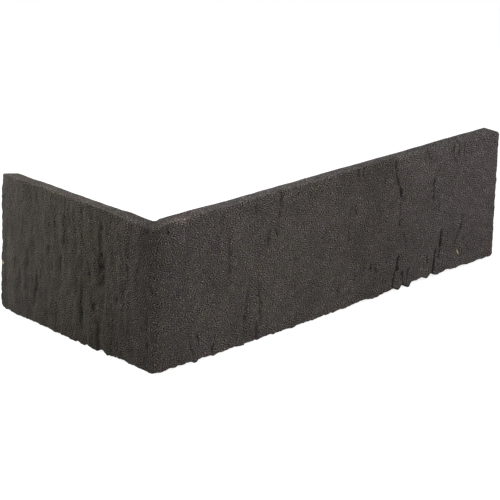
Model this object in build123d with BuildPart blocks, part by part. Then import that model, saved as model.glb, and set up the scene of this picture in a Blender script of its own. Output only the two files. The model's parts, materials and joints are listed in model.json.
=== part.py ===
"""Corner brick slip: an L-shaped facing tile of extruded, fired clay, in the 240 x 115 x 71 brick format.

The clay leaves the press as one L-shaped strand that runs upwards in this frame, and a wire cuts it to the
course height. The long leg shows as a stretcher in the wall, the short one as a header.
Millimetres, +Z up. The origin is at the middle of the bounding box, on the bed that the slip stands on.
"""

import os

from build123d import *

# The brick format that the slip copies, measured outside to outside
stretcher_length = 240.0
header_length = 115.0
course_height = 71.0
slip_thickness = 9.0

# Rounding of the section, as the press die shapes it
outer_corner_radius = 6.0
inner_corner_radius = 3.0

# Rounding of the edges
end_corner_radius = 2.0  # upper corners of the two free ends, seen square to the face
face_arris_radius = 1.0  # edge of the sanded face along the top and down the free ends
back_arris_radius = 0.8  # edge of the bonding face
cut_arris_radius = 0.6  # lower edge, left nearly sharp by the cutting wire

# Main furrows that the drag tore down the header's face: where each starts and where it is deepest, as shares
# of the header's length from the upright corner and of the course height, then its width and depth there
drag_furrows = (
    ((0.335, 0.96), (0.340, 0.51), 5.0, 1.6),
    ((0.378, 0.38), (0.390, 0.13), 6.0, 1.3),
    ((0.416, 0.66), (0.403, 0.47), 3.0, 1.0),
    ((0.474, 0.34), (0.463, 0.12), 2.6, 0.9),
    ((0.570, 0.87), (0.600, 0.49), 4.5, 0.9),
    ((0.744, 0.47), (0.770, 0.16), 2.8, 0.8),
    ((0.870, 0.42), (0.880, 0.20), 2.4, 0.5),
    ((0.148, 0.90), (0.174, 0.52), 4.5, 0.8),
)
furrow_run_out = 3.5  # height over which a furrow ends below its deepest place
steep_share = 0.3  # share of a furrow's width on its steep side, the one towards the free end
furrow_clearance = 1.0  # how far the cutters stand out of the face

# Planes of the section
face_x = -stretcher_length / 2
face_y = -header_length / 2
back_x = face_x + slip_thickness
back_y = face_y + slip_thickness
end_x = face_x + stretcher_length
end_y = face_y + header_length


def top_edge(face):
    """The highest edge of an upright face."""
    return face.edges().sort_by(Axis.Z)[-1]


with BuildPart() as corner_slip:
    with BuildSketch() as section:
        with BuildLine():
            Polyline(
                (face_x, face_y),
                (end_x, face_y),
                (end_x, back_y),
                (back_x, back_y),
                (back_x, end_y),
                (face_x, end_y),
                close=True,
            )
        make_face()
        outer_corner = section.vertices().sort_by_distance((face_x, face_y))[0]
        fillet(outer_corner, radius=outer_corner_radius)
        inner_corner = section.vertices().sort_by_distance((back_x, back_y))[0]
        fillet(inner_corner, radius=inner_corner_radius)
    extrude(amount=course_height)

    # The free ends lose their upper corners first, so that the face's edge runs round them in one sweep.
    stretcher_end = corner_slip.faces().sort_by(Axis.X)[-1]
    header_end = corner_slip.faces().sort_by(Axis.Y)[-1]
    fillet([top_edge(stretcher_end), top_edge(header_end)], radius=end_corner_radius)

    stretcher_face = corner_slip.faces().filter_by(Axis.Y).sort_by(Axis.Y)[0]
    fillet(top_edge(stretcher_face), radius=face_arris_radius)

    stretcher_back = corner_slip.faces().filter_by(Axis.Y).group_by(Axis.Y)[1][0]
    fillet(top_edge(stretcher_back), radius=back_arris_radius)

    cut_bed = corner_slip.faces().sort_by(Axis.Z)[0]
    fillet(cut_bed.edges(), radius=cut_arris_radius)

    # Each furrow is cut by a slim spindle, which grows from nothing to the deepest place and ends below it.
    for (start_share, start_height), (deep_share, deep_height), width, depth in drag_furrows:
        deep_z = deep_height * course_height
        stations = (
            (start_share, start_height * course_height, 0.0),
            (deep_share, deep_z, depth),
            (deep_share, deep_z - furrow_run_out, 0.0),
        )
        for share, z, bite in stations:
            valley_y = face_y + share * header_length
            spread = (bite + furrow_clearance) * width / depth
            with BuildSketch(Plane.XY.offset(z)):
                with BuildLine():
                    Polyline(
                        (face_x + bite, valley_y),
                        (face_x - furrow_clearance, valley_y + steep_share * spread),
                        (face_x - furrow_clearance, valley_y - (1 - steep_share) * spread),
                        close=True,
                    )
                make_face()
        loft(ruled=True, mode=Mode.SUBTRACT)

corner_slip.part.label = "corner_slip"

os.makedirs("parts", exist_ok=True)
export_step(corner_slip.part, "parts/corner_slip.step")
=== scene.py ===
import json
import math

import bmesh
import bpy
import numpy as np
from mathutils import Matrix, Vector, noise


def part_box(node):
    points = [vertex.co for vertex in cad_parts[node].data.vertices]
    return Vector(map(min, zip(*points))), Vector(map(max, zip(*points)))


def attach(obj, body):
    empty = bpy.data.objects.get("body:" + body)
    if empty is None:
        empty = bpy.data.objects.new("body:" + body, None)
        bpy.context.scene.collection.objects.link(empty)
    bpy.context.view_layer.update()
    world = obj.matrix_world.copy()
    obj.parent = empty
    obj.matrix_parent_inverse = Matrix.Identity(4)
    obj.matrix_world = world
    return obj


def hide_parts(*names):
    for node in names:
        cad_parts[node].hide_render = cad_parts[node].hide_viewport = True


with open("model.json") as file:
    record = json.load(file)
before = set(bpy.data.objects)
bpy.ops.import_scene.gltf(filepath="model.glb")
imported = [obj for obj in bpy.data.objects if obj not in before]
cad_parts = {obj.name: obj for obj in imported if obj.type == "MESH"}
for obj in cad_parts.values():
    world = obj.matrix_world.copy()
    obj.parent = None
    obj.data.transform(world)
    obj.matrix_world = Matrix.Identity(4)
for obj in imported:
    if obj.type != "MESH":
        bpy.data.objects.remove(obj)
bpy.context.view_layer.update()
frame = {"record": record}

scene = bpy.context.scene

# The slip: one L-shaped tile of extruded clay, fired dark grey right through. The die of the press gives it
# its section, the soft face is dragged and torn upright, and the wire that cuts the strand to course height
# pulls burrs out of the lower edge.
mm = 0.001
slip_low, slip_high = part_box("corner_slip")
mounts = {mount["name"]: mount["pos_m"] for mount in frame["record"]["mounts"]}
stretcher_length = (slip_high.x - slip_low.x) / mm
header_length = (slip_high.y - slip_low.y) / mm
course_height = (slip_high.z - slip_low.z) / mm
slip_thickness = (mounts["stretcher_back"][1] - slip_low.y) / mm
corner_x = slip_low.x / mm
corner_y = slip_low.y / mm

# Its mesh is a row of closed rings, one round the section at each station of the run. Run is measured on the
# sanded face from the upright corner, in millimetres: minus on the header, plus on the stretcher. Rise is the
# height above the floor, and depth goes from the sanded face to the bonding face.
outer_corner_radius = 6.0
inner_corner_radius = 3.0
face_arris_radius = 0.6
back_arris_radius = 0.6
foot_arris_radius = 0.6
header_upper_radius = 2.6
stretcher_upper_radius = 3.0
header_foot_radius = 4.0
stretcher_foot_radius = 2.2

# The free ends were cut a little out of square: how far each stands out at the foot and at the crest, and how
# far along the leg that is felt
header_end_foot, header_end_crest = 1.6, -3.0
stretcher_end_foot, stretcher_end_crest = -0.6, 0.3
lean_reach = 22.0

# Height of the upper edge against the nominal course, and of the lower edge above the floor, along the run
crest_swell = ((-115, -0.4), (-66, -0.3), (-34, -0.1), (-26, 0.3), (-14, -0.1), (0, 0.2), (6, 1.1),
               (36, 1.0), (44, 0.6), (100, 0.4), (140, 0.2), (170, 0.0), (190, 0.0), (205, 0.05),
               (225, -0.1), (240, -0.2))
foot_line = ((-115, 1.2), (-100, 0.9), (-84, 1.1), (-76, 0.5), (-66, 0.7), (-50, 0.6), (-26, 1.1), (-14, 0.6),
             (-8, 0.4), (0, 0.6), (8, 1.6), (20, 1.2), (30, 1.1), (40, 0.9), (52, 0.8), (60, 0.8), (72, 0.7),
             (100, 0.7), (112, 0.8), (124, 0.9), (137, 1.9), (145, 0.7), (152, 1.1), (158, 1.5), (176, 1.6),
             (200, 1.5), (208, 1.6), (226, 1.3), (240, 1.3))

# How far the front of the upper bed stands above its back, where the wire left it out of level
crest_tilt = ((-115, 1.5), (-66, 1.3), (-36, 1.2), (-22, 0.5), (0, -0.2), (30, -0.1), (40, 0.5), (100, 0.6),
              (140, 1.0), (150, 1.4), (166, 1.4), (178, 0.1), (240, 0.1))

# Burrs that the cutting wire left on the lower edge: run, half width and how far each hangs below the edge
burrs = (
    (-60.6, 3.0, 2.4), (-53.4, 2.4, 1.4), (-44.0, 2.4, 2.2), (-35.0, 1.6, 0.8), (18.0, 2.5, 0.3),
    (25.0, 1.8, 2.2), (36.0, 2.0, 0.7), (55.8, 0.9, 0.8), (65.0, 1.5, 0.2), (76.0, 2.0, 0.6),
    (89.0, 3.0, 0.6), (118.0, 3.0, 0.4), (150.0, 4.0, 0.5), (165.0, 1.8, 1.4), (172.4, 2.0, 2.2),
    (186.5, 1.4, 0.4), (195.5, 1.6, 0.6), (219.0, 1.3, 0.5),
)
# Places where the wire tore clay away: run, half width and how far the edge is raised
bites = ((-57.0, 1.2, 0.4), (-50.0, 2.0, 0.6), (-38.5, 2.0, 0.8), (29.0, 2.0, 0.3), (168.0, 2.0, 1.4),
         (176.5, 2.4, 1.0), (182.0, 5.0, 1.4), (190.5, 3.2, 1.5), (203.0, 4.5, 0.9), (229.0, 2.0, 0.5))

# Furrows that the drag left on the header: points of run and rise from the upper end down, then width and
# depth. The side towards the free end is steep, the other runs out gently.
furrows = (
    (((-37.4, 95), (-38.0, 60), (-37.5, 46)), 3.8, 0.2),
    (((-37.0, 55), (-38.0, 42), (-39.8, 32)), 7.0, 0.5),
    (((-48.2, 46), (-46.6, 32)), 3.0, 0.42),
    (((-43.0, 26.5), (-44.2, 17.5)), 5.6, 0.65),
    (((-44.0, 23), (-44.0, 10), (-43.0, -4)), 6.5, 0.45),
    (((-53.4, 24), (-54.0, 14), (-53.0, 0)), 2.4, 0.3),
    (((-85.6, 32), (-86.8, 21), (-89.2, 9)), 2.8, 0.5),
    (((-99.6, 31), (-100.6, 15)), 3.0, 0.45),
    (((-92.6, 41), (-94.2, 26)), 2.0, 0.2),
    (((-67.4, 44), (-69.4, 31)), 3.4, 0.5),
    (((-18.6, 62), (-18.2, 50), (-20.2, 36)), 4.8, 0.24),
    (((-72.0, 16), (-72.5, 2)), 3.0, 0.2),
    (((-27.2, 32), (-26.8, 28)), 2.6, 0.5),
    (((-52.0, 62), (-51.0, 53)), 3.0, 0.3),
    (((-108.0, 32), (-108.6, 23)), 2.4, 0.3),
    (((-76.2, 46), (-77.0, 38)), 2.6, 0.25),
)
# Ridges raised between them: points, width and height
ridges = (
    (((-56.5, 56), (-57.6, 42), (-58.6, 24)), 6.0, 0.45),
    (((-64.3, 78), (-64.8, 60), (-66.0, 46)), 3.4, 0.45),
    (((-30.0, 72), (-30.0, 60), (-31.5, 44)), 4.0, 0.3),
    (((-47.5, 24), (-48.0, 12), (-47.5, 2)), 3.0, 0.25),
    (((-89.8, 34), (-90.8, 22), (-92.6, 8)), 3.6, 0.35),
    (((-43.0, 62), (-43.5, 50), (-43.0, 40)), 3.4, 0.3),
)

# Cracks and thin places in the sanded skin, through which raw clay shows, with painted shade for the shadow
# in them, and soft strokes of painted shade where the face lies in shadow, each cut in as a shallow groove
# too: points, width and depth
cracks_and_shade_strokes = (
    (((-37.2, 92), (-37.4, 60), (-36.8, 44)), 6.4, 0.19),
    (((-36.4, 54), (-37.2, 42), (-38.6, 32)), 8.4, 0.33),
    (((-47.2, 45), (-46.6, 32)), 2.8, 0.16),
    (((-42.0, 25), (-41.6, 10), (-41.4, -4)), 8.0, 0.23),
    (((-53.6, 24), (-53.8, 12), (-53.0, 0)), 2.4, 0.15),
    (((-18.8, 62), (-18.4, 50), (-20.0, 37)), 5.4, 0.19),
    (((-5.6, 31), (-5.2, 12)), 3.0, 0.2),
    (((79.0, 76), (79.6, 64)), 3.4, 0.48),
    (((78.6, 63), (78.8, 59)), 2.4, 0.6),
    (((73.4, 60), (70.8, 48)), 2.4, 0.34),
    (((75.6, 55), (77.0, 51)), 1.6, 0.7),
    (((63.0, 70), (63.6, 61)), 2.0, 0.34),
    (((46.0, 60), (46.2, 38)), 3.2, 0.31),
    (((59.4, 32), (57.6, 22), (55.4, 5)), 3.4, 0.32),
    (((64.8, 34), (66.4, 20), (67.0, 7)), 2.8, 0.36),
    (((63.8, 11), (64.4, 1)), 2.6, 0.42),
    (((50.6, 15), (50.8, 4)), 1.8, 0.25),
    (((19.6, 21), (21.4, 12), (23.4, 2)), 2.4, 0.26),
    (((26.3, 14), (26.3, 10.5)), 1.9, 0.8),
    (((35.0, 7), (35.0, 1)), 1.8, 0.3),
    (((36.6, 44), (36.0, 33)), 3.2, 0.2),
    (((7.2, 70.5), (8.4, 66.5)), 2.0, 0.5),
    (((38.2, 55), (39.2, 51.5)), 1.6, 0.4),
    (((119.8, 14), (119.6, 7)), 1.9, 0.45),
    (((158.9, 73), (161.2, 62), (164.6, 51.5)), 1.9, 0.65),
    (((164.4, 56), (165.2, 50)), 2.6, 0.75),
    (((164.8, 51), (163.8, 35)), 2.2, 0.3),
    (((164.0, 19.5), (163.0, 11)), 2.5, 1.2),
    (((161.8, 13), (160.8, 8), (160.8, 1)), 1.6, 0.7),
    (((167.6, 33), (169.4, 20)), 1.7, 0.4),
    (((166.8, 12), (168.6, 2)), 1.7, 0.65),
    (((172.0, 12), (171.0, 2)), 1.7, 0.65),
    (((189.6, 56), (190.2, 43)), 1.9, 0.85),
    (((183.6, 72), (186.2, 65)), 2.0, 0.45),
    (((193.4, 44), (195.2, 35)), 1.8, 0.38),
    (((197.5, 27), (196.6, 18), (195.2, 10)), 1.9, 1.0),
    (((193.4, 18), (192.0, 9), (190.6, 1)), 2.3, 1.0),
    (((213.6, 33), (212.8, 25), (207.6, 14)), 3.6, 0.36),
    (((204.4, 71), (204.0, 66), (206.0, 60)), 2.2, 0.42),
    (((208.2, 71), (209.0, 66), (207.4, 60)), 2.2, 0.42),
    (((212.8, 70), (212.4, 61)), 2.2, 0.4),
    (((227.6, 70), (228.6, 63)), 2.4, 0.24),
    (((130.6, 53.5), (131.2, 50)), 1.7, 0.95),
    (((143.2, 56.5), (145.2, 54)), 1.5, 0.6),
    (((137.0, 74), (136.8, 66)), 1.8, 0.6),
    (((132.4, 74), (133.0, 67)), 2.0, 0.42),
    (((152.6, 69), (152.2, 60)), 1.8, 0.32),
    (((128.4, 58), (126.4, 34)), 2.8, 0.25),
    (((143.6, 22), (143.4, 15)), 1.8, 0.42),
    (((146.4, 17.5), (148.0, 13.5)), 1.8, 0.5),
    (((146.4, 10), (147.0, 5)), 1.6, 0.3),
    (((186.8, 15), (186.2, 6)), 2.0, 0.5),
)

# Places where the skin is rubbed pale: run, rise, half width, half height and how much paler
worn_places = ((16.6, 71.8, 4.5, 1.8, 0.8), (17.6, 65.0, 1.8, 9.0, 0.35), (-29.4, 65.5, 1.6, 4.5, 0.35),
               (166.0, 71.5, 11.0, 2.0, 0.25), (31.0, 10.0, 5.0, 6.0, 0.12), (-47.0, 19.5, 1.5, 1.5, 0.3),
               (123.0, 73.0, 3.0, 1.2, 0.4))

# The mesh: width of its columns along the run, the closer columns over the rounded ends, how far the rings of
# the flat ends are drawn in, and the rows round the section
column_width = 0.45
end_zone = 6.0
end_columns = 14
end_rings = (2.8, 2.0, 1.0)
face_rows = 76
edge_rows = 3
bed_rows = 7
back_rows = 12


def hump(distance):
    """One at no distance, falling smoothly to nothing at a distance of one."""
    return np.clip(1 - distance ** 2, 0, 1) ** 2


def rounding(from_end, radius):
    """How far a rounded corner of that radius lies inside the square one."""
    inside = np.clip(radius - from_end, 0, radius)
    return radius - np.sqrt(radius ** 2 - inside ** 2)


def line_noise(length, seed):
    """Smooth noise along the stations, with waves of that length in millimetres."""
    return np.array([noise.noise((station / length, 7.3 * seed, 0.5)) for station in stations])


# Stations of the rings: close together at the rounded free ends and even along the legs. The first and the
# last few stand in one place and draw the flat end face together.
end_steps = end_zone * (1 - np.cos(np.linspace(0, np.pi / 2, end_columns)))
legs = np.arange(-header_length + end_zone + column_width, stretcher_length - end_zone, column_width)
stations = np.concatenate([
    np.full(len(end_rings), -header_length), -header_length + end_steps, legs,
    stretcher_length - end_steps[::-1], np.full(len(end_rings), stretcher_length),
])
drawn_in = np.zeros_like(stations)
drawn_in[:len(end_rings)] = end_rings
drawn_in[-len(end_rings):] = end_rings[::-1]
flat_end = drawn_in > 0
from_header_end = stations + header_length
from_stretcher_end = stretcher_length - stations
from_end = np.minimum(from_header_end, from_stretcher_end)

# The section at each station: its lower and upper edge, the lip of the face above the upper one, its front
# and its back, and how round its edges are
lowest_foot = 0.02
flat_end_sharpness = 0.15
foot = np.interp(stations, *zip(*foot_line)) + 0.45 * line_noise(1.6, 1) + 0.35 * line_noise(4.0, 2)
for burr_run, half_width, drop in burrs:
    foot -= drop * hump((stations - burr_run) / half_width)
for bite_run, half_width, lift in bites:
    foot += lift * hump((stations - bite_run) / half_width)
foot = np.maximum(foot, lowest_foot) + drawn_in
foot += rounding(from_header_end, header_foot_radius) + rounding(from_stretcher_end, stretcher_foot_radius)
crest = course_height + np.interp(stations, *zip(*crest_swell)) + 0.2 * line_noise(9.0, 3) - drawn_in
crest -= rounding(from_header_end, header_upper_radius) + rounding(from_stretcher_end, stretcher_upper_radius)
tilt = np.interp(stations, *zip(*crest_tilt)) + 0.25 * line_noise(3.0, 6) + 0.2 * line_noise(1.2, 7)
lip = crest + tilt * (1 - flat_end)
front = rounding(from_end, face_arris_radius) + drawn_in
back = slip_thickness - rounding(from_end, back_arris_radius) - drawn_in
sharpness = np.where(flat_end, flat_end_sharpness, 1)
chipping = np.clip(1 + 1.2 * line_noise(5.0, 4) + 0.8 * line_noise(1.8, 5), 0.4, 2.2)
face_arris = face_arris_radius * chipping * sharpness
back_arris = back_arris_radius * sharpness
foot_arris = foot_arris_radius * sharpness


def strip(start, stop, count):
    """A strip of the ring: even rows from one value to another at every station."""
    return start[:, None] + (stop - start)[:, None] * np.linspace(0, 1, count)


# Turn of each row round an edge of the section, in degrees, without the edge's two ends
quarter_turn = 90 * np.arange(1, edge_rows + 1) / (edge_rows + 1)


def edge(centre_depth, centre_rise, radius, facing_from):
    """Rows round an edge of the section, over a quarter turn on from a direction in degrees."""
    angles = np.radians(facing_from - quarter_turn)
    centres = (centre_depth, centre_rise)
    outward = (np.cos(angles), np.sin(angles))
    return [centre[:, None] + radius[:, None] * way for centre, way in zip(centres, outward)]


strips = (
    (strip(front, front, face_rows), strip(foot + foot_arris, lip - face_arris, face_rows)),
    edge(front + face_arris, lip - face_arris, face_arris, 180),
    (strip(front + face_arris, back - back_arris, bed_rows), strip(lip, crest, bed_rows)),
    edge(back - back_arris, crest - back_arris, back_arris, 90),
    (strip(back, back, back_rows), strip(crest - back_arris, foot + foot_arris, back_rows)),
    edge(back - foot_arris, foot + foot_arris, foot_arris, 0),
    (strip(back - foot_arris, front + foot_arris, bed_rows), strip(foot, foot, bed_rows)),
    edge(front + foot_arris, foot + foot_arris, foot_arris, -90),
)
depth = np.concatenate([strip_depth for strip_depth, _ in strips], axis=1)
rise = np.concatenate([strip_rise for _, strip_rise in strips], axis=1)
run = np.repeat(stations[:, None], depth.shape[1], axis=1)
steps_round = np.hypot(np.diff(depth, axis=1), np.diff(rise, axis=1))
way_round = rise[:, :1] + np.pad(np.cumsum(steps_round, axis=1), ((0, 0), (1, 0)))

# Which way each row of the ring faces: forwards, up, back or down, and between them at the edges
facing = np.radians(np.concatenate([
    np.full(face_rows, 180), 180 - quarter_turn, np.full(bed_rows, 90), 90 - quarter_turn,
    np.full(back_rows, 0), -quarter_turn, np.full(bed_rows, -90), -90 - quarter_turn,
]))


def patches(wide, deep, tall, seed, along=run):
    """Smooth noise over the rings, in patches of that size in millimetres, about -1 to 1."""
    points = np.stack([along / wide + 31 * seed, depth / deep, rise / tall], axis=-1).reshape(-1, 3)
    return np.array([noise.noise(point) for point in points.tolist()]).reshape(run.shape)


# Relief of the face: upright drag ridges that meander, broad waves, lumps and grit, with heights in
# millimetres. The header was dragged harder. Ridges and waves hardly change through the thickness.
sanded_reach = 0.6 * slip_thickness
header_from, header_over = 4, 16
right_through = 40.0
grit_height = 0.07
sanded = np.clip(1 - depth / sanded_reach, 0, 1)
header_share = np.clip((-run - header_from) / header_over, 0, 1)
meander = run + 1.6 * patches(7.0, right_through, 13.0, 1) + 0.7 * patches(2.5, right_through, 5.0, 2)
drag = (0.12 + 0.56 * header_share) * patches(4.5, right_through, 20.0, 5, meander)
drag += (0.06 + 0.25 * header_share) * patches(2.2, right_through, 9.0, 6, meander)
waves = 0.5 * patches(28.0, right_through, 45.0, 7)
waves += 0.45 * header_share * patches(9.0, right_through, 30.0, 14)
lumps = (0.13 + 0.22 * header_share) * patches(4.5, 4.5, 6.0, 8)
lumps += (0.09 + 0.11 * header_share) * patches(1.5, 1.5, 1.7, 9)
dice = np.random.default_rng(20)
grit = grit_height * dice.standard_normal(run.shape)

# Furrows, ridges and cracks wander by the first of these, furrows and cracks break up by the second, and the
# third is the height over which each of them ends
ragged = 0.45 * patches(1.2, 6.0, 2.0, 10) + 0.6 * patches(3.0, 6.0, 6.0, 11)
broken = patches(2.0, 6.0, 3.2, 12)
run_out = 2.5


def follow(points, width, fading):
    """How many widths each place lies to the side of a line down the face, and the line's strength there."""
    runs, rises = np.array(points, float).T
    aside = (run - np.interp(rise, rises[::-1], runs[::-1]) + ragged) / width
    begun = np.clip((rises[0] - rise) / (fading * (rises[0] - rises[-1])), 0, 1)
    ended = np.clip((rise - rises[-1]) / run_out + 0.5, 0, 1)
    return aside, begun * ended


steep_side = 0.45  # width of a furrow's steep side against its gentle one
gentle_power = 1.7
furrowed = np.zeros_like(run)
for points, width, furrow_depth in furrows:
    aside, strength = follow(points, width, 0.3)
    strength = strength * furrow_depth * np.clip(1 + 0.5 * broken, 0.5, 1.5)
    hollow = np.where(aside < 0, hump(aside / steep_side), np.clip(1 - aside, 0, 1) ** gentle_power)
    furrowed = np.maximum(furrowed, strength * hollow)

ridge_slope = 0.5  # width of a ridge's side towards the corner against the other
raised = np.zeros_like(run)
for points, width, height in ridges:
    aside, strength = follow(points, width, 0.4)
    raised += height * strength * np.where(aside < 0, hump(aside), hump(aside / ridge_slope))

# A crack's half width against its width, how deep it bites, and how much of a furrow is torn as well,
# which also darkens the furrow with painted shade
crack_half_width, crack_bite, torn_and_shade_furrow_share = 0.55, 1.4, 0.4
torn_and_shade = np.zeros_like(run)
for points, width, crack_depth in cracks_and_shade_strokes:
    aside, strength = follow(points, width, 0.25)
    strength = crack_bite * crack_depth * strength * np.clip(1 + 1.2 * broken, 0.2, 1.8)
    torn_and_shade = np.maximum(torn_and_shade, strength * hump(aside / crack_half_width))
torn_and_shade = np.maximum(torn_and_shade, torn_and_shade_furrow_share * furrowed)
torn_and_shade *= sanded

# The relief stands square to the surface. The back has less of the lumps and the grit, and the beds follow
# the relief less than the face does, so that they stay nearly level.
back_share = 0.35
lower_bed_share, upper_bed_share = 0.2, 0.6
highest = course_height + 1.8
relief = sanded * (drag + waves + raised - furrowed) - torn_and_shade
relief += (back_share + (1 - back_share) * sanded) * (lumps + grit)
relief *= np.where(flat_end, 0.0, 1.0)[:, None]
depth = depth + relief * np.cos(facing)
rise = rise + relief * np.clip(np.sin(facing), -lower_bed_share, upper_bed_share)
rise = np.clip(rise, 0.0, highest)

worn = np.zeros_like(run)
for worn_run, worn_rise, half_width, half_height, paler in worn_places:
    away = np.hypot((run - worn_run) / half_width, (rise - worn_rise) / half_height)
    worn = np.maximum(worn, paler * hump(away))
worn *= sanded > 0.5

# The lean of the free ends, and the rough cut of their flats
end_roughness, flat_reach = 0.5, 0.5
share_up = rise / course_height
header_reach = np.clip(1 - from_header_end / lean_reach, 0, 1)[:, None] ** 2
stretcher_reach = np.clip(1 - from_stretcher_end / lean_reach, 0, 1)[:, None] ** 2
placed_run = run - header_reach * (header_end_foot + (header_end_crest - header_end_foot) * share_up)
placed_run += stretcher_reach * (stretcher_end_foot + (stretcher_end_crest - stretcher_end_foot) * share_up)
placed_run += end_roughness * patches(3.0, 3.0, 3.0, 13) * (from_end < flat_reach)[:, None]


def round_corner(run, inset, radius):
    """Plan of the line that runs round the corner so far behind the sanded face, with that corner radius."""
    span = inset + radius
    turn = np.clip((run + span) / (2 * span), 0, 1) * np.pi / 2
    x = corner_x + span - radius * np.cos(turn) + np.maximum(run - span, 0)
    y = corner_y + span - radius * np.sin(turn) + np.maximum(-run - span, 0)
    return np.stack([x, y], axis=-1)


face_plan = round_corner(placed_run, 0.0, outer_corner_radius)
back_plan = round_corner(placed_run, slip_thickness, inner_corner_radius)
plan = face_plan + (back_plan - face_plan) * (depth / slip_thickness)[..., None]
places = np.concatenate([plan, rise[..., None]], axis=-1).reshape(-1, 3) * mm

corner_numbers = np.arange(run.size).reshape(run.shape)
here, ahead = corner_numbers[:-1], corner_numbers[1:]
cells = np.stack([here, np.roll(here, -1, axis=1), np.roll(ahead, -1, axis=1), ahead], axis=-1).reshape(-1, 4)
clay_mesh = bpy.data.meshes.new("clay_body")
clay_mesh.from_pydata(places, [], cells.tolist() + [corner_numbers[0].tolist(), corner_numbers[-1].tolist()])

# What the material reads at each place: the run, how torn the skin is together with its painted shade, how
# worn it is, and how far the place was cut instead of sanded, which is nothing on the face and one on the
# beds and the back
cut = np.repeat(1 - np.clip(-np.cos(facing), 0, 1)[None, :], len(stations), axis=0)
for name, values in (("run", run), ("torn_and_shade", torn_and_shade), ("worn", worn), ("cut", cut)):
    attribute = clay_mesh.attributes.new(name, "FLOAT", "POINT")
    attribute.data.foreach_set("value", values.ravel().astype(np.float32))
unrolled = np.stack([run, way_round, np.zeros_like(run)], axis=-1)
clay_mesh.attributes.new("unrolled", "FLOAT_VECTOR", "POINT").data.foreach_set(
    "vector", unrolled.ravel().astype(np.float32))

# The slip unrolled, for surfaces that are painted on later: along the run to the right, round the section
# upwards, and the two flat ends in strips of their own at the sides
end_strip = 0.02
stride = np.hypot(np.diff(stations), np.diff(drawn_in))
spread = np.concatenate([[0.0], np.cumsum(stride)])
spread = end_strip + (1 - 2 * end_strip) * spread / spread[-1]
girth = np.append(np.arange(run.shape[1]), run.shape[1]) / run.shape[1]
left = np.meshgrid(spread[:-1], girth[:-1], indexing="ij")
right = np.meshgrid(spread[1:], girth[1:], indexing="ij")
corners = np.stack([left[0], left[1], left[0], right[1], right[0], right[1], right[0], left[1]], axis=-1)
ends = [np.stack([side + 0.8 * end_strip * depth[ring] / slip_thickness, rise[ring] / course_height], axis=-1)
        for ring, side in ((0, 0.0), (-1, 1 - end_strip))]
unrolled_map = clay_mesh.uv_layers.new(name="OFBake")
spread_out = np.concatenate([corners.reshape(-1), *[end.reshape(-1) for end in ends]])
unrolled_map.data.foreach_set("uv", spread_out.astype(np.float32))


def turn_outwards(mesh):
    """Split the faces that have more than four corners and turn every face outwards."""
    shaping = bmesh.new()
    shaping.from_mesh(mesh)
    bmesh.ops.triangulate(shaping, faces=[face for face in shaping.faces if len(face.verts) > 4])
    bmesh.ops.recalc_face_normals(shaping, faces=shaping.faces)
    shaping.to_mesh(mesh)
    shaping.free()


turn_outwards(clay_mesh)
clay_mesh.shade_smooth()
clay_body = bpy.data.objects.new("clay_body", clay_mesh)
scene.collection.objects.link(clay_body)


def linear(colour):
    """Linear RGBA of an sRGB hex value."""
    channels = [int(colour[i:i + 2], 16) / 255 for i in (1, 3, 5)]
    return [c / 12.92 if c <= 0.04045 else ((c + 0.055) / 1.055) ** 2.4 for c in channels] + [1.0]


def add(tree, kind, settings, inputs, give=None):
    """Add a node with its settings and its inputs, linked or set, and hand back one of its outputs."""
    node = tree.nodes.new(kind)
    for name, value in settings.items():
        setattr(node, name, value)
    sockets = {socket.identifier: socket for socket in node.inputs}
    for name, value in inputs.items():
        if isinstance(value, bpy.types.NodeSocket):
            tree.links.new(value, sockets[name])
        else:
            sockets[name].default_value = value
    outputs = {socket.identifier: socket for socket in node.outputs if socket.enabled}
    return outputs[give] if give else next(iter(outputs.values()), None)


def begin_material(name):
    """A new material, its node tree and its shader."""
    material = bpy.data.materials.new(name)
    material.use_nodes = True
    return material, material.node_tree, material.node_tree.nodes["Principled BSDF"]


# Fired clay, sand-faced: dull and dark, with little gloss. The header is an olive grey, the stretcher a
# purplish one, raw clay in the tears is darker than the skin and carries painted shade for the shadow in the
# tears and furrows, and each grain of the facing has its own tone. The colours are given along the run, for
# the sanded skin and for the clay that the wire cut.
clay, tree, shader = begin_material("fired_clay")
place = add(tree, "ShaderNodeTexCoord", {}, {}, "Object")
run_at, torn_and_shade_at, worn_at, cut_at = [
    add(tree, "ShaderNodeAttribute", {"attribute_name": name}, {}, "Fac")
    for name in ("run", "torn_and_shade", "worn", "cut")
]
# The skin darkens towards the upright corner, and over that its dark band at run -7 is painted shade and its
# pale band at -1 painted light, for the shading of the rounded corner.
skin_colours_with_corner_shade = ((-115, "#433f3b"), (-100, "#3e3a36"), (-70, "#3b3732"), (-34, "#37332e"), (-16, "#3c3734"),
                (-7, "#322e2b"), (-1, "#423d39"), (5, "#3d3936"), (18, "#403b39"), (26, "#46413e"),
                (48, "#443f3c"), (110, "#45403d"), (140, "#413c39"), (185, "#474240"), (240, "#4a4443"))
cut_colours = ((-115, "#48433f"), (-45, "#403c38"), (-16, "#363230"), (-4, "#2b2826"), (5, "#373331"),
               (14, "#3f3a36"), (35, "#413c3a"), (65, "#413e3c"), (140, "#423d3c"), (175, "#3a3736"),
               (240, "#3b3837"))
raw_clay_and_shade = "#181513"
whole_run = header_length + stretcher_length
along_run = add(tree, "ShaderNodeMapRange", {}, {
    "Value": run_at, "From Min": -header_length, "From Max": stretcher_length})
coats = []
for colours in (skin_colours_with_corner_shade, cut_colours):
    coat = add(tree, "ShaderNodeValToRGB", {}, {"Fac": along_run}, "Color")
    stops = coat.node.color_ramp.elements
    stops[0].color = linear(colours[0][1])
    stops[1].color = linear(colours[-1][1])
    for stop_run, colour in colours[1:-1]:
        stops.new((stop_run + header_length) / whole_run).color = linear(colour)
    coats.append(coat)
skin = add(tree, "ShaderNodeMix", {"data_type": "RGBA"}, {
    "Factor_Float": cut_at, "A_Color": coats[0], "B_Color": coats[1]})

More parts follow.
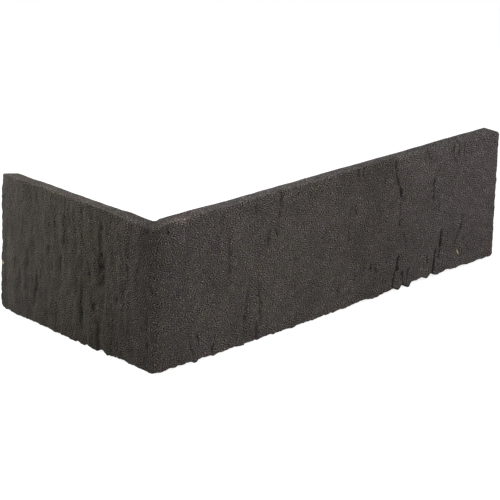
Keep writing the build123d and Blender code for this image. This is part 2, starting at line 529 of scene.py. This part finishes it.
# Each grain leans to green or to purple, and so do the clots of grains. The header was smeared, so that its
# grains differ less.
grain_width, clot_width = 0.34, 1.2
smeared_run, loose_run, smeared_contrast = -95.0, -8.0, 0.42
grain_contrast = add(tree, "ShaderNodeMapRange", {}, {
    "Value": run_at, "From Min": smeared_run, "From Max": loose_run,
    "To Min": smeared_contrast, "To Max": 1.0})
grain_cell, clot_cell = [
    add(tree, "ShaderNodeTexVoronoi", {}, {"Vector": place, "Scale": 1 / (width * mm)}, "Color")
    for width in (grain_width, clot_width)
]
leanings = (
    (grain_cell, "#b5beae", "#c1b8c8", grain_contrast),
    (clot_cell, "#b9c0b5", "#beb7c1", 1.0),
)
for cell, green, purple, share in leanings:
    lean = add(tree, "ShaderNodeSeparateColor", {}, {"Color": cell}, "Green")
    hue = add(tree, "ShaderNodeMix", {"data_type": "RGBA"}, {
        "Factor_Float": lean, "A_Color": linear(green), "B_Color": linear(purple)})
    skin = add(tree, "ShaderNodeMix", {"data_type": "RGBA", "blend_type": "OVERLAY"}, {
        "Factor_Float": share, "A_Color": skin, "B_Color": hue})

# Grains lie packed side by side, pale beside dark, some much more so than others, and most of all where they
# were cut bare. Real ones are finer: these are as coarse as they need to be to show.
pair_width, pair_stretch, pairs_in_a_row = 1.0, 1.5, 2.0
packed_depth, grain_depth, grain_power = 1.8, 0.56, 1.3
least_contrast, most_contrast, cut_contrast = 0.3, 1.7, 2.0
darkest_tone = 0.15
unrolled_at = add(tree, "ShaderNodeAttribute", {"attribute_name": "unrolled"}, {}, "Vector")
laid = add(tree, "ShaderNodeVectorMath", {"operation": "MULTIPLY"}, {
    "Vector": unrolled_at, "Vector_001": (1 / pair_stretch, 1.0, 1.0)})
packed = add(tree, "ShaderNodeTexGabor", {"gabor_type": "2D"}, {
    "Vector": laid, "Scale": 1 / (pair_width * pairs_in_a_row), "Frequency": pairs_in_a_row,
    "Anisotropy": 0.0}, "Value")
packed_tone = add(tree, "ShaderNodeMapRange", {"clamp": False}, {
    "Value": packed, "To Min": -packed_depth, "To Max": packed_depth})
grain_tone = add(tree, "ShaderNodeSeparateColor", {}, {"Color": grain_cell}, "Red")
grain_tone = add(tree, "ShaderNodeMapRange", {}, {
    "Value": grain_tone, "To Min": -grain_depth, "To Max": grain_depth})
contrast = add(tree, "ShaderNodeSeparateColor", {}, {"Color": clot_cell}, "Blue")
contrast = add(tree, "ShaderNodeMapRange", {}, {
    "Value": contrast, "To Min": least_contrast, "To Max": most_contrast})
bared = add(tree, "ShaderNodeMapRange", {}, {"Value": cut_at, "To Min": 1.0, "To Max": cut_contrast})
for share in (grain_contrast, bared):
    contrast = add(tree, "ShaderNodeMath", {"operation": "MULTIPLY"}, {"Value": contrast, "Value_001": share})
tone = add(tree, "ShaderNodeMath", {"operation": "ADD"}, {"Value": packed_tone, "Value_001": grain_tone})
tone = add(tree, "ShaderNodeMath", {"operation": "MULTIPLY_ADD"}, {
    "Value": tone, "Value_001": contrast, "Value_002": 1.0})
tone = add(tree, "ShaderNodeMath", {"operation": "MAXIMUM"}, {"Value": tone, "Value_001": darkest_tone})
tone = add(tree, "ShaderNodeMath", {"operation": "POWER"}, {"Value": tone, "Value_001": grain_power})

# Painted light and shade: the header and the far end of the stretcher are painted darker towards their foot
# and paler towards their upper edge, and the rubbed places are paler too
shade_foot, shade_crest, foot_shade, crest_shade = 5.0, 66.0, -0.1, 0.12
far_end_share = 0.4
height_at = add(tree, "ShaderNodeSeparateXYZ", {}, {"Vector": place}, "Z")
shade = add(tree, "ShaderNodeMapRange", {}, {
    "Value": height_at, "From Min": shade_foot * mm, "From Max": shade_crest * mm,
    "To Min": foot_shade, "To Max": crest_shade})
on_header = add(tree, "ShaderNodeMapRange", {}, {
    "Value": run_at, "From Min": -20.0, "From Max": -6.0, "To Min": 1.0, "To Max": 0.0})
at_far_end = add(tree, "ShaderNodeMapRange", {}, {
    "Value": run_at, "From Min": 140.0, "From Max": 200.0, "To Min": 0.0, "To Max": far_end_share})
shaded = add(tree, "ShaderNodeMath", {"operation": "MAXIMUM"}, {"Value": on_header, "Value_001": at_far_end})
shade = add(tree, "ShaderNodeMath", {"operation": "MULTIPLY_ADD"}, {
    "Value": shade, "Value_001": shaded, "Value_002": 1.0})
shade = add(tree, "ShaderNodeMath", {"operation": "ADD"}, {"Value": shade, "Value_001": worn_at})
tone = add(tree, "ShaderNodeMath", {"operation": "MULTIPLY"}, {"Value": tone, "Value_001": shade})

# Blotches of the firing, wide ones and small ones
for blotch_width, blotch_depth, detail in ((16.0, 0.12, 1.0), (4.0, 0.07, 0.0)):
    blotch = add(tree, "ShaderNodeTexNoise", {}, {
        "Vector": place, "Scale": 1 / (blotch_width * mm), "Detail": detail})
    blotch = add(tree, "ShaderNodeMapRange", {}, {
        "Value": blotch, "From Min": 0.25, "From Max": 0.75,
        "To Min": 1 - blotch_depth, "To Max": 1 + blotch_depth})
    tone = add(tree, "ShaderNodeMath", {"operation": "MULTIPLY"}, {"Value": tone, "Value_001": blotch})
toned = add(tree, "ShaderNodeVectorMath", {"operation": "SCALE"}, {"Vector": skin, "Scale": tone})

# Raw clay shows where the skin is torn, painted shade darkens the cracks, the furrows and the strokes of
# shade, and each grain is a small dome
dark_from, dark_to, darkest_mix = 0.1, 0.7, 0.75
grain_rise = 0.25
raw_and_shade_mix = add(tree, "ShaderNodeMapRange", {}, {
    "Value": torn_and_shade_at, "From Min": dark_from, "From Max": dark_to, "To Min": 0.0, "To Max": darkest_mix})
colour = add(tree, "ShaderNodeMix", {"data_type": "RGBA"}, {
    "Factor_Float": raw_and_shade_mix, "A_Color": toned, "B_Color": linear(raw_clay_and_shade)})
dome = add(tree, "ShaderNodeTexVoronoi", {"feature": "SMOOTH_F1"}, {
    "Vector": place, "Scale": 1 / (grain_width * mm), "Smoothness": 0.3}, "Distance")
bump = add(tree, "ShaderNodeBump", {"invert": True}, {
    "Height": dome, "Distance": grain_rise * mm, "Strength": 1.0})
tree.links.new(colour, shader.inputs["Base Color"])
tree.links.new(bump, shader.inputs["Normal"])
shader.inputs["Roughness"].default_value = 0.92
shader.inputs["Specular IOR Level"].default_value = 0.1
clay_mesh.materials.append(clay)

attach(clay_body, "root")
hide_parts("corner_slip")

# Coarse facing sand: the largest grains of the sand that the soft face was rolled in, fired on so that they
# stand out of the skin one by one. There are few on the header, in shallow cracks and under light painted
# shade, and none in deep cracks, under dark painted shade and on the cut faces.
sand = bpy.data.node_groups.new("facing_sand", "GeometryNodeTree")
sand_inputs = (
    ("Clay", "NodeSocketGeometry"), ("From Run", "NodeSocketFloat"), ("To Run", "NodeSocketFloat"),
    ("Grains per Area", "NodeSocketFloat"), ("Grain Size", "NodeSocketFloat"), ("Seed", "NodeSocketInt"),
)
for name, kind in sand_inputs:
    sand.interface.new_socket(name, in_out="INPUT", socket_type=kind)
sand.interface.new_socket("Sand", in_out="OUTPUT", socket_type="NodeSocketGeometry")
given = sand.nodes.new("NodeGroupInput").outputs
run_of, torn_and_shade_of, cut_of = [
    add(sand, "GeometryNodeInputNamedAttribute", {"data_type": "FLOAT"}, {"Name": name}, "Attribute")
    for name in ("run", "torn_and_shade", "cut")
]
after = add(sand, "FunctionNodeCompare", {"operation": "GREATER_EQUAL"}, {
    "A": run_of, "B": given["From Run"]})
before = add(sand, "FunctionNodeCompare", {"operation": "LESS_THAN"}, {"A": run_of, "B": given["To Run"]})
stretch = add(sand, "FunctionNodeBooleanMath", {"operation": "AND"}, {
    "Boolean": after, "Boolean_001": before})

# What thins the sand out: the attribute, its low and its high value, and the share of sand at each of them
few_on_header = (run_of, -50.0, -5.0, 0.05, 1.0)
none_on_cuts = (cut_of, 0.0, 0.3, 1.0, 0.0)
none_in_cracks = (torn_and_shade_of, 0.05, 0.3, 1.0, 0.0)
shares = [
    add(sand, "ShaderNodeMapRange", {}, {
        "Value": value, "From Min": low, "From Max": high, "To Min": share_low, "To Max": share_high})
    for value, low, high, share_low, share_high in (few_on_header, none_on_cuts, none_in_cracks)
]
place_of = add(sand, "GeometryNodeInputPosition", {}, {})
height_of = add(sand, "ShaderNodeSeparateXYZ", {}, {"Vector": place_of}, "Z")
off_floor = add(sand, "FunctionNodeCompare", {"operation": "GREATER_THAN"}, {
    "A": height_of, "B": given["Grain Size"]})
cover = shares[0]
for share in (*shares[1:], off_floor, given["Grains per Area"]):
    cover = add(sand, "ShaderNodeMath", {"operation": "MULTIPLY"}, {"Value": cover, "Value_001": share})
seats = add(sand, "GeometryNodeDistributePointsOnFaces", {}, {
    "Mesh": given["Clay"], "Selection": stretch, "Density": cover, "Seed": given["Seed"]}, "Points")
tone_of = add(sand, "FunctionNodeRandomValue", {}, {"Seed": given["Seed"]}, "Value_001")
seats = add(sand, "GeometryNodeStoreNamedAttribute", {}, {
    "Geometry": seats, "Name": "tone", "Value": tone_of})

# Quartz and slag sand, each grain of one mineral and so of one tone: the mix of tones is what speckles the
# face. From each share of the draw upwards a grain is of the next, paler kind.
sand_kinds = ((0.0, "#1d1b1a"), (0.45, "#403b38"), (0.70, "#605952"), (0.95, "#827a71"))
facet_width, facet_low, facet_high = 0.3, 0.7, 1.3
facing_sand, tree, shader = begin_material("facing_sand")
place = add(tree, "ShaderNodeTexCoord", {}, {}, "Object")
drawn = add(tree, "ShaderNodeAttribute", {"attribute_name": "tone"}, {}, "Fac")
mineral = add(tree, "ShaderNodeValToRGB", {}, {"Fac": drawn}, "Color")
mineral.node.color_ramp.interpolation = "CONSTANT"
stops = mineral.node.color_ramp.elements
stops.remove(stops[1])
stops[0].color = linear(sand_kinds[0][1])
for share, colour in sand_kinds[1:]:
    stops.new(share).color = linear(colour)
facet = add(tree, "ShaderNodeTexNoise", {}, {"Vector": place, "Scale": 1 / (facet_width * mm)})
facet = add(tree, "ShaderNodeMapRange", {}, {"Value": facet, "To Min": facet_low, "To Max": facet_high})
mineral = add(tree, "ShaderNodeVectorMath", {"operation": "SCALE"}, {"Vector": mineral, "Scale": facet})
tree.links.new(mineral, shader.inputs["Base Color"])
shader.inputs["Roughness"].default_value = 0.85
shader.inputs["Specular IOR Level"].default_value = 0.1

grain = add(sand, "GeometryNodeMeshIcoSphere", {}, {"Subdivisions": 1, "Radius": 0.5}, "Mesh")
turned = add(sand, "FunctionNodeRandomValue", {"data_type": "FLOAT_VECTOR"}, {
    "Min": (0, 0, 0), "Max": (math.tau, math.tau, math.tau), "Seed": 1}, "Value")
shaped = add(sand, "FunctionNodeRandomValue", {"data_type": "FLOAT_VECTOR"}, {
    "Min": (0.6, 0.6, 0.4), "Max": (1.3, 1.2, 1.0), "Seed": 2}, "Value")
sized = add(sand, "ShaderNodeVectorMath", {"operation": "SCALE"}, {
    "Vector": shaped, "Scale": given["Grain Size"]})
grains = add(sand, "GeometryNodeInstanceOnPoints", {}, {
    "Points": seats, "Instance": grain, "Rotation": turned, "Scale": sized})
grains = add(sand, "GeometryNodeRealizeInstances", {}, {"Geometry": grains})
grains = add(sand, "GeometryNodeSetMaterial", {}, {"Geometry": grains, "Material": facing_sand})
add(sand, "NodeGroupOutput", {}, {sand.interface.items_tree["Sand"].identifier: grains})

grains_per_mm2 = 0.06
grain_size = 0.6
sand_pieces = (("header_sand", -120.0, 0.0, 11), ("stretcher_sand", 0.0, 245.0, 12))
for name, from_run, to_run, seed in sand_pieces:
    piece = bpy.data.objects.new(name, clay_mesh)
    scene.collection.objects.link(piece)
    scatter = piece.modifiers.new("scatter", "NODES")
    scatter.node_group = sand
    settings = {"From Run": from_run, "To Run": to_run, "Grains per Area": grains_per_mm2 / mm ** 2,
                "Grain Size": grain_size * mm, "Seed": seed}
    for label, value in settings.items():
        scatter[sand.interface.items_tree[label].identifier] = value
    scattered = piece.evaluated_get(bpy.context.evaluated_depsgraph_get())
    piece_mesh = bpy.data.meshes.new_from_object(scattered)
    piece.modifiers.clear()
    piece.data = piece_mesh
    piece_mesh.name = name
    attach(piece, "root")

# Four flecks, half sunk in the skin: slivers of straw near the stretcher's far end and at the header's free
# end, a grit of ochre at the foot of the upright corner and a streak of rust on the far edge. Given are the
# stuff, run, rise, width and height of each, and its lean in degrees.
flecks = (
    ("straw", 210.3, 10.2, (0.9, 4.4), 26.0),
    ("ochre_grit", -0.4, 4.8, (1.3, 1.2), 0.0),
    ("straw", -113.6, 25.8, (1.2, 1.8), 0.0),
    ("rust", 238.6, 7.2, (1.0, 7.0), 0.0),
)
fleck_half_depth = 0.35

# Dry straw, ochre and rust, dull and streaked from pale to deep
fleck_colours = {
    "straw": ("#d9c68f", "#b39a5c"),
    "ochre_grit": ("#c98f45", "#94602c"),
    "rust": ("#6b4a2c", "#4a3420"),
}
streak_width = 0.6
fleck_mesh = bpy.data.meshes.new("flecks")
for name, (pale, deep) in fleck_colours.items():
    fleck_stuff, tree, shader = begin_material(name)
    place = add(tree, "ShaderNodeTexCoord", {}, {}, "Object")
    streak = add(tree, "ShaderNodeTexNoise", {}, {"Vector": place, "Scale": 1 / (streak_width * mm)})
    tint = add(tree, "ShaderNodeMix", {"data_type": "RGBA"}, {
        "Factor_Float": streak, "A_Color": linear(pale), "B_Color": linear(deep)})
    tree.links.new(tint, shader.inputs["Base Color"])
    shader.inputs["Roughness"].default_value = 0.8
    fleck_mesh.materials.append(fleck_stuff)

points, faces, stuffs = [], [], []
for name, fleck_run, fleck_rise, (wide, tall), lean in flecks:
    ring = np.argmin(np.abs(stations - fleck_run))
    row = np.argmin(np.abs(rise[ring, :face_rows] - fleck_rise))
    seat = Vector(places[ring * run.shape[1] + row])
    inward = Vector((*(back_plan - face_plan)[ring, row], 0.0)).normalized()
    sideways = Vector((0, 0, 1)).cross(inward)
    lean = math.radians(lean)
    upright = math.cos(lean) * Vector((0, 0, 1)) + math.sin(lean) * sideways
    aside = sideways - sideways.dot(upright) * upright
    spokes = (aside * wide / 2, upright * tall / 2, -aside * wide / 2, -upright * tall / 2)
    half_depth = inward * fleck_half_depth * mm
    first = len(points)
    points += [seat - half_depth, *[seat + spoke * mm for spoke in spokes], seat + half_depth]
    for spoke in range(4):
        following = first + 1 + (spoke + 1) % 4
        faces += [(first, first + 1 + spoke, following), (first + 5, following, first + 1 + spoke)]
        stuffs += 2 * [list(fleck_colours).index(name)]
fleck_mesh.from_pydata(points, [], faces)
fleck_mesh.polygons.foreach_set("material_index", stuffs)
turn_outwards(fleck_mesh)
fleck_piece = bpy.data.objects.new("flecks", fleck_mesh)
scene.collection.objects.link(fleck_piece)
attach(fleck_piece, "root")

# A plain pale floor for the slip to stand on: a wide sheet of paper. It is white to the eye and grey to the
# light that it throws back, with the soft shadow of the slip left on it.
floor_size = 4.0
half = floor_size / 2
floor_corners = [(-half, -half, 0), (half, -half, 0), (half, half, 0), (-half, half, 0)]
floor_mesh = bpy.data.meshes.new("floor")
floor_mesh.from_pydata(floor_corners, [], [(0, 1, 2, 3)])
floor = bpy.data.objects.new("floor", floor_mesh)
scene.collection.objects.link(floor)


def seen_directly(tree):
    """One for what is seen, also in a gloss or through a clear pane, and nothing for light thrown back."""
    rays = tree.nodes.new("ShaderNodeLightPath").outputs
    seen = add(tree, "ShaderNodeMath", {"operation": "MAXIMUM"}, {
        "Value": rays["Is Camera Ray"], "Value_001": rays["Is Glossy Ray"]})
    return add(tree, "ShaderNodeMath", {"operation": "MAXIMUM"}, {
        "Value": seen, "Value_001": rays["Is Transmission Ray"]})


paper_grey, paper_glow = "#959595", 0.85
paper = bpy.data.materials.new("pale_paper")
paper.use_nodes = True
tree = paper.node_tree
tree.nodes.clear()
sheet = add(tree, "ShaderNodeBsdfDiffuse", {}, {"Color": linear(paper_grey)})
glow = add(tree, "ShaderNodeEmission", {}, {"Color": linear("#ffffff"), "Strength": paper_glow})
lit = add(tree, "ShaderNodeAddShader", {}, {"Shader": sheet, "Shader_001": glow})
surface = add(tree, "ShaderNodeMixShader", {}, {
    "Fac": seen_directly(tree), "Shader": sheet, "Shader_001": lit})
add(tree, "ShaderNodeOutputMaterial", {}, {"Surface": surface})
floor_mesh.materials.append(paper)

# Soft studio light: a wide lamp overhead and to the front, a smaller one at the header's free end, and an
# even room, which is white to the eye
room_level = 0.3
world = bpy.data.worlds.new("room")
world.use_nodes = True
scene.world = world
tree = world.node_tree
tree.nodes.clear()
strength = add(tree, "ShaderNodeMapRange", {}, {
    "Value": seen_directly(tree), "To Min": room_level, "To Max": 1.0})
room = add(tree, "ShaderNodeBackground", {}, {"Color": linear("#ffffff"), "Strength": strength})
add(tree, "ShaderNodeOutputWorld", {}, {"Surface": room})

lamps = (
    ("front_lamp", (-0.05, -0.6, 0.5), 0.5, 5.2),
    ("side_lamp", (-0.40, 0.30, 0.33), 0.2, 3.3),
)
for name, stand, width, power in lamps:
    lamp = bpy.data.lights.new(name, "AREA")
    lamp.shape = "DISK"
    lamp.size = width
    lamp.energy = power
    lamp_object = bpy.data.objects.new(name, lamp)
    lamp_object.location = stand
    lamp_object.rotation_euler = (-Vector(stand)).to_track_quat("-Z", "Y").to_euler()
    scene.collection.objects.link(lamp_object)

# The camera, at the photograph's viewing angle: it looks down past the upright corner at both legs
azimuth = math.radians(43.900)
elevation = math.radians(19.543)
roll = math.radians(-0.434)
distance = 910.6
aim_across = 42.71
aim_up = 25.16
focal_pixels = 2013.8
image_side = 500
level_back = Vector((-math.sin(azimuth), -math.cos(azimuth), 0))
back_way = math.cos(elevation) * level_back + math.sin(elevation) * Vector((0, 0, 1))
right_way = Vector((math.cos(azimuth), -math.sin(azimuth), 0))
up_way = back_way.cross(right_way)
aim = Vector((corner_x, corner_y, course_height / 2)) + aim_across * right_way + aim_up * up_way
eye = (aim + distance * back_way) * mm
across = math.cos(roll) * right_way - math.sin(roll) * up_way
upward = math.sin(roll) * right_way + math.cos(roll) * up_way
camera = bpy.data.cameras.new("camera")
camera.sensor_width = 36.0
camera.lens = focal_pixels / image_side * camera.sensor_width
camera.clip_start = 0.05
camera_object = bpy.data.objects.new("camera", camera)
turned_to_slip = Matrix((across, upward, back_way)).transposed().to_4x4()
camera_object.matrix_world = Matrix.Translation(eye) @ turned_to_slip
scene.collection.objects.link(camera_object)
scene.camera = camera_object
scene.view_settings.view_transform = "Standard"
